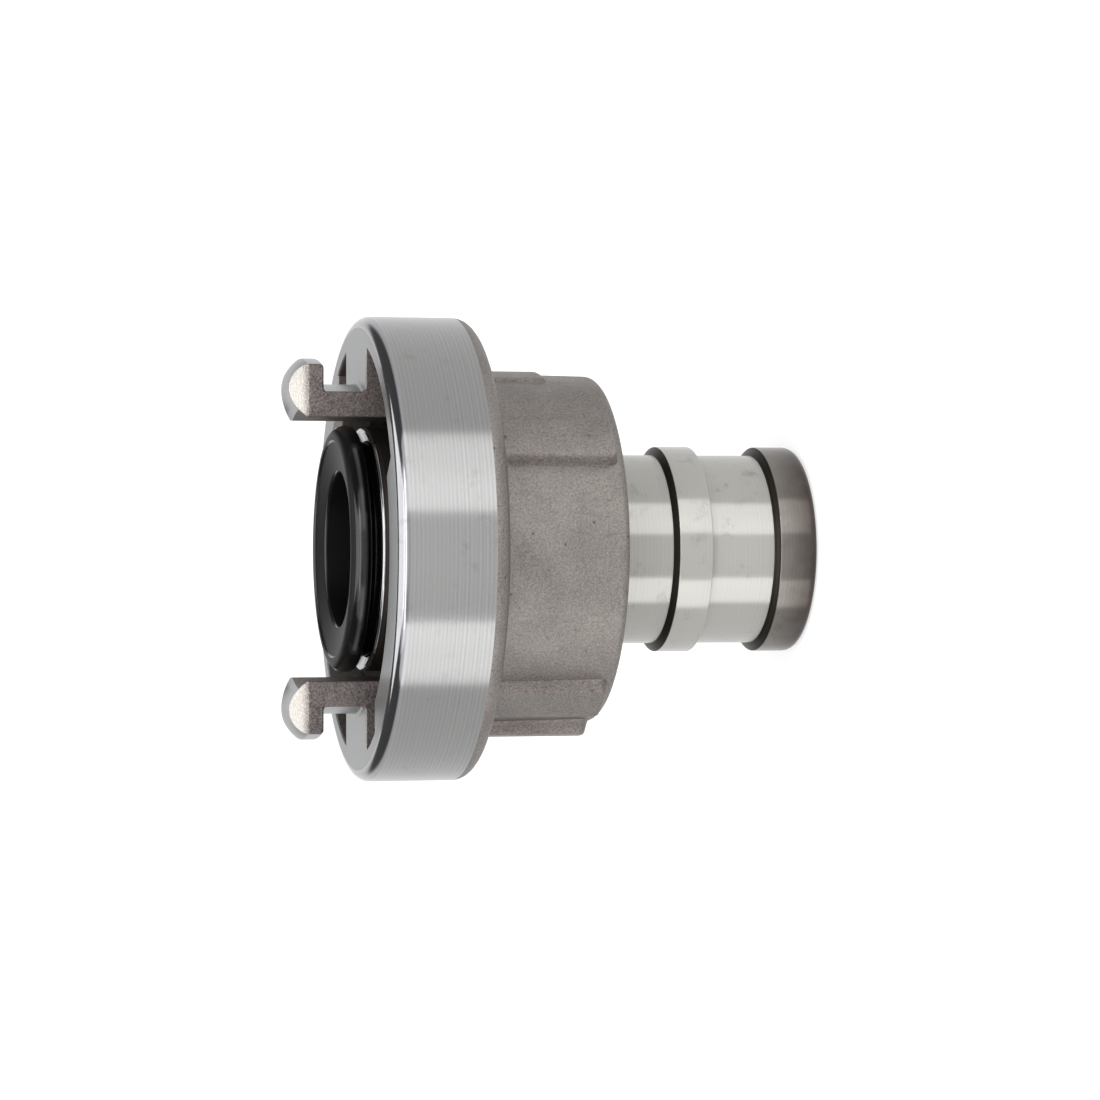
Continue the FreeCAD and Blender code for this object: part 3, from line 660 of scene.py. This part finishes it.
def spring_wire():
    """Drawn spring steel wire with a faint mottling of about half a millimetre."""
    material, tree, output = new_material("drawn_spring_steel")
    coordinates = add_node(tree, "ShaderNodeTexCoord")
    marks = add_node(tree, "ShaderNodeTexNoise", {},
                     {"Vector": (coordinates, "Object"), "Scale": 1 / (0.5 * MM), "Detail": 3.0})
    colour = add_node(tree, "ShaderNodeMix", {"data_type": "RGBA"},
                      {"Factor": (marks, "Fac"), "A": linear("#6f6f70"), "B": linear("#97979a")})
    steel = add_node(tree, "ShaderNodeBsdfPrincipled", {}, {
        "Base Color": (colour, "Result"), "Metallic": 1.0, "Roughness": 0.3})
    tree.links.new(steel.outputs["BSDF"], output.inputs["Surface"])
    return material


rubber_black = moulded_rubber("moulded_black_rubber", shine=0.5, roughness=0.16)
# The front of the lip and the wall of the hole are worn by other seals and by water, and take
# hardly any gloss.
rubber_dull = moulded_rubber("worn_black_rubber", shine=0.12, roughness=0.42)
wire_steel = spring_wire()
print("other finishes:", [material.name for material in (rubber_black, rubber_dull, wire_steel)])

# %% [markdown]
# Each face now gets its finish from its place and from the way it faces, because on the real part
# the borders between finishes are where one tool stopped and the next began. Some of these finishes
# carry painted shade or a painted highlight.

# %% Put the finishes on the pieces
# Room for rounding errors where a face lies right at a limit, in millimetres.
HAIR = 0.01
# From here up, inside the hub, the tail is painted dark as shade.
SHADE_START = 32.0

RIDGE, OXIDISED, SHADE_PAINTED, BURNISHED = range(4)
for material in (ridge_turned, tail_turned, head_turned, edge_turned):
    hose_tail.data.materials.append(material)
# From the hose end upwards: the height in millimetres up to which each finish goes.
TAIL_ZONES = ((END_RIDGE_TOP + HAIR, RIDGE), (END_RIDGE_TOP + CONE_LENGTH + HAIR, SHADE_PAINTED),
              (SECOND_RIDGE_TOP + HAIR, OXIDISED), (SECOND_RIDGE_TOP + CONE_LENGTH + HAIR, SHADE_PAINTED),
              (SHADE_START, OXIDISED), (HEAD_TOP - HEAD_ROUND, SHADE_PAINTED), (HEAD_TOP + HAIR, BURNISHED))
for face in hose_tail.data.polygons:
    face.material_index = next(finish for limit, finish in TAIL_ZONES if face.center.z / MM < limit)

# The fine step on the seal's front keeps its gloss, and the rest of the front and the hole are worn.
seal.data.materials.append(rubber_black)
seal.data.materials.append(rubber_dull)
for face in seal.data.polygons:
    radius = math.hypot(*face.center.xy) / MM
    on_step = abs(radius - (STEP_RADIUS - 0.07)) < 0.1
    face.material_index = int(radius < HOLE_RADIUS + 0.05 or face.normal.z > 0.75 and not on_step)

claw_ring.data.materials.clear()
for material in (cast_skin, ring_turned, face_turned, edge_turned, claw_skin, lug_wall_shade):
    claw_ring.data.materials.append(material)
CAST, TURNED, SATIN, EDGE, FLANK_AND_RECESS_SHADE, SHADED_LUG_WALL = range(6)
# A wall of a lug leans away from the outward direction by more than about 28 degrees.
WALL_LEAN = 0.88


def ring_finish(middle, normal):
    """Which finish a face of the claw ring has, from its middle in millimetres and its normal."""
    radius = math.hypot(middle.x, middle.y)
    if radius > RING_RADIUS - FRONT_ROUND - 0.05 and middle.z > TURNED_REAR:
        if middle.z > FACE - FRONT_ROUND + HAIR and normal.z < 0.999:
            return EDGE
        return SATIN if normal.z > 0.9 else TURNED
    # The hub below its front rounding, where only lugs stand out further than the skin.
    if radius > HUB_FRONT_RADIUS - 0.1 and middle.z < RING_BACK - 1.3 and abs(normal.z) < 0.5:
        outwards = (normal.x * middle.x + normal.y * middle.y) / radius
        # Painted shade on the lugs' side walls.
        return SHADED_LUG_WALL if outwards < WALL_LEAN else CAST
    if middle.z < FACE - EDGE_BREAK - HAIR:
        # The channel floor takes the darker flank skin as painted shade in that recess.
        claw_root = middle.z > FLOOR and abs(abs(middle.y) - CLAW_HALF) < 0.2 and abs(normal.y) > 0.9
        channel_floor = abs(middle.z - FLOOR) < HAIR
        return FLANK_AND_RECESS_SHADE if claw_root or channel_floor else CAST
    if middle.z < FACE + HAIR and normal.z > 0.5:
        return SATIN if normal.z > 0.9 else CAST
    sloped_side = abs(normal.y) > 0.3 and normal.z > 0.6
    return FLANK_AND_RECESS_SHADE if abs(normal.y) > 0.5 or sloped_side else SATIN


for face in claw_ring.data.polygons:
    face.material_index = ring_finish(face.center / MM, face.normal)

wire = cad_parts["retaining_ring"]
wire.data.materials.clear()
wire.data.materials.append(wire_steel)
for piece in (hose_tail, seal, claw_ring, wire):
    print(piece.name, "has", len(piece.data.materials), "finishes")

# %% [markdown]
# ## Light and floor
#
# The photograph is lit like most pictures of metal parts. Two long soft boxes stand beside the
# camera, parallel to the coupling's axis, and the turned cylinders show each of them as a bright
# band. A third one lights the claws from above, and a wide one stands high behind the camera, with a
# strip lamp before it that draws a bright line on the rubber lip. The upright walls of the part
# mirror what lies a little below the floor's horizon, so reflections look past the floor to the
# boxes' lower ends.

# %% Lamps
def soft_box(name, place, aim, width, length, radiance, along=(0, 0, 1)):
    """An area lamp of a given brightness per area, facing a point, its length along a direction."""
    light = bpy.data.lights.new(name, "AREA")
    light.shape = "RECTANGLE"
    light.size, light.size_y = width, length
    light.energy = radiance * width * length * math.pi
    lamp = bpy.data.objects.new(name, light)
    bpy.context.scene.collection.objects.link(lamp)
    out = (Vector(place) - Vector(aim)).normalized()
    across = Vector(along).cross(out).normalized()
    lamp.matrix_world = Matrix.Translation(place) @ Matrix(
        (across, out.cross(across), out)).transposed().to_4x4()
    print(name, "measures", round(width, 2), "by", length, "m")


BOX_DISTANCE = 0.6
middle = Vector((0, 0, 0.03))
for name, from_angle, to_angle, radiance in (("soft_box_upper", 18, 57, 1.15),
                                             ("soft_box_lower", -68, -35, 1.35)):
    angle = math.radians((from_angle + to_angle) / 2)
    half = math.radians((to_angle - from_angle) / 2)
    place = middle + BOX_DISTANCE * Vector((math.sin(angle), -math.cos(angle), 0))
    soft_box(name, place, middle, 2 * BOX_DISTANCE * math.tan(half), 0.9, radiance)
soft_box("soft_box_top", (0, -0.06, 0.65), (0, -0.06, 0), width=0.7, length=0.96, radiance=2.3,
         along=(0, 1, 0))
soft_box("soft_box_front", (-0.1, -0.85, 0.75), middle, width=1.8, length=0.9, radiance=1.0)
soft_box("strip_lamp", (0, -0.52, 0.43), middle, width=0.9, length=0.13, radiance=3.5)

# %% [markdown]
# The world is white where the camera sees it. In the metal it is white round the horizon, like the
# floor and the backdrop. High up at the sides it is a dim room, which gives the front rounding its
# dark lines. The floor is white. Near the object part of it is plain paint, which takes the shadow,
# and further off it is all as white as the backdrop.

# %% World and floor
def background_rays(tree):
    """1 for rays that see the background: from the camera, a reflection or a clear body."""
    path = add_node(tree, "ShaderNodeLightPath")
    seen = add_node(tree, "ShaderNodeMath", {"operation": "MAXIMUM"},
                    {0: (path, "Is Camera Ray"), 1: (path, "Is Glossy Ray")})
    seen = add_node(tree, "ShaderNodeMath", {"operation": "MAXIMUM"},
                    {0: (seen, "Value"), 1: (path, "Is Transmission Ray")})
    return path, seen


world = bpy.data.worlds.new("studio")
bpy.context.scene.world = world
world.use_nodes = True
tree = world.node_tree
tree.nodes.clear()
path, seen = background_rays(tree)
direction = add_node(tree, "ShaderNodeSeparateXYZ", inputs={
    "Vector": (add_node(tree, "ShaderNodeTexCoord"), "Generated")})
high = add_node(tree, "ShaderNodeMapRange", {"interpolation_type": "SMOOTHSTEP"},
                {"Value": (direction, "Z"), "From Min": 0.1, "From Max": 0.3})
side = add_node(tree, "ShaderNodeMath", {"operation": "ABSOLUTE"}, {0: (direction, "Y")})
side = add_node(tree, "ShaderNodeMapRange", {"interpolation_type": "SMOOTHSTEP"},
                {"Value": (side, "Value"), "From Min": 0.96, "From Max": 0.86})
dim = add_node(tree, "ShaderNodeMath", {"operation": "MULTIPLY"},
               {0: (high, "Result"), 1: (side, "Result")})
dim = add_node(tree, "ShaderNodeMath", {"operation": "MULTIPLY"},
               {0: (dim, "Value"), 1: (path, "Is Glossy Ray")})
seen_strength = add_node(tree, "ShaderNodeMapRange", {}, {"Value": (dim, "Value"), "To Min": 1.0,
                                                          "To Max": 0.12})
ambient = add_node(tree, "ShaderNodeBackground", {}, {"Color": (1, 1, 1, 1), "Strength": 0.55})
white = add_node(tree, "ShaderNodeBackground", {}, {"Color": (1, 1, 1, 1),
                                                    "Strength": (seen_strength, "Result")})
mixed = add_node(tree, "ShaderNodeMixShader", {}, {0: (seen, "Value"), 1: (ambient, "Background"),
                                                    2: (white, "Background")})
add_node(tree, "ShaderNodeOutputWorld", {}, {"Surface": (mixed, "Shader")})

STAGE_RADIUS = 3.0
# The plain paint gives way to the glow between these distances from the object, in metres.
PAINT_END, GLOW_START = 0.2, 0.7

shape = bmesh.new()
bmesh.ops.create_circle(shape, cap_ends=True, segments=96, radius=STAGE_RADIUS)
floor_mesh = bpy.data.meshes.new("floor")
shape.to_mesh(floor_mesh)
shape.free()
floor = bpy.data.objects.new("floor", floor_mesh)
bpy.context.scene.collection.objects.link(floor)
floor.location.z = -0.1 * MM
floor.visible_glossy = False
floor.visible_shadow = False
floor_paint, tree, output = new_material("white_floor")
seen = background_rays(tree)[1]
paint = add_node(tree, "ShaderNodeBsdfDiffuse", {}, {"Color": linear("#f4f4f4")})
strength = add_node(tree, "ShaderNodeMath", {"operation": "MULTIPLY"}, {0: (seen, "Value"), 1: 1.2})
glow = add_node(tree, "ShaderNodeEmission", {}, {"Color": (1, 1, 1, 1), "Strength": (strength, "Value")})
distance = add_node(tree, "ShaderNodeVectorMath", {"operation": "LENGTH"}, {
    0: (add_node(tree, "ShaderNodeTexCoord"), "Object")})
share = add_node(tree, "ShaderNodeMapRange", {"interpolation_type": "SMOOTHSTEP"},
                 {"Value": (distance, "Value"), "From Min": PAINT_END, "From Max": GLOW_START,
                  "To Min": 0.55, "To Max": 1.0})
shared = add_node(tree, "ShaderNodeMixShader", {}, {0: (share, "Result"), 1: (paint, "BSDF"),
                                                    2: (glow, "Emission")})
tree.links.new(shared.outputs["Shader"], output.inputs["Surface"])
floor_mesh.materials.append(floor_paint)
floor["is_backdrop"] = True
print("the floor is a disc of", 2 * STAGE_RADIUS, "m across")

# %% [markdown]
# ## Ride and replace
#
# Each piece now rides on the body that it belongs to and stands for its solid, which stays in the
# physics model.

# %% Ride on the bodies
for piece, body, node, slot_name in (
        (hose_tail, "tail", "hose_tail", "turned_aluminium"),
        (seal, "tail", "seal", "seal_rubber"),
        (claw_ring, "ring", "claw_ring", "forged_aluminium")):
    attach(piece, body)
    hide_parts(node)
    print(piece.name, "rides on", body)

bpy.context.scene.view_settings.view_transform = "Standard"

low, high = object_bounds()
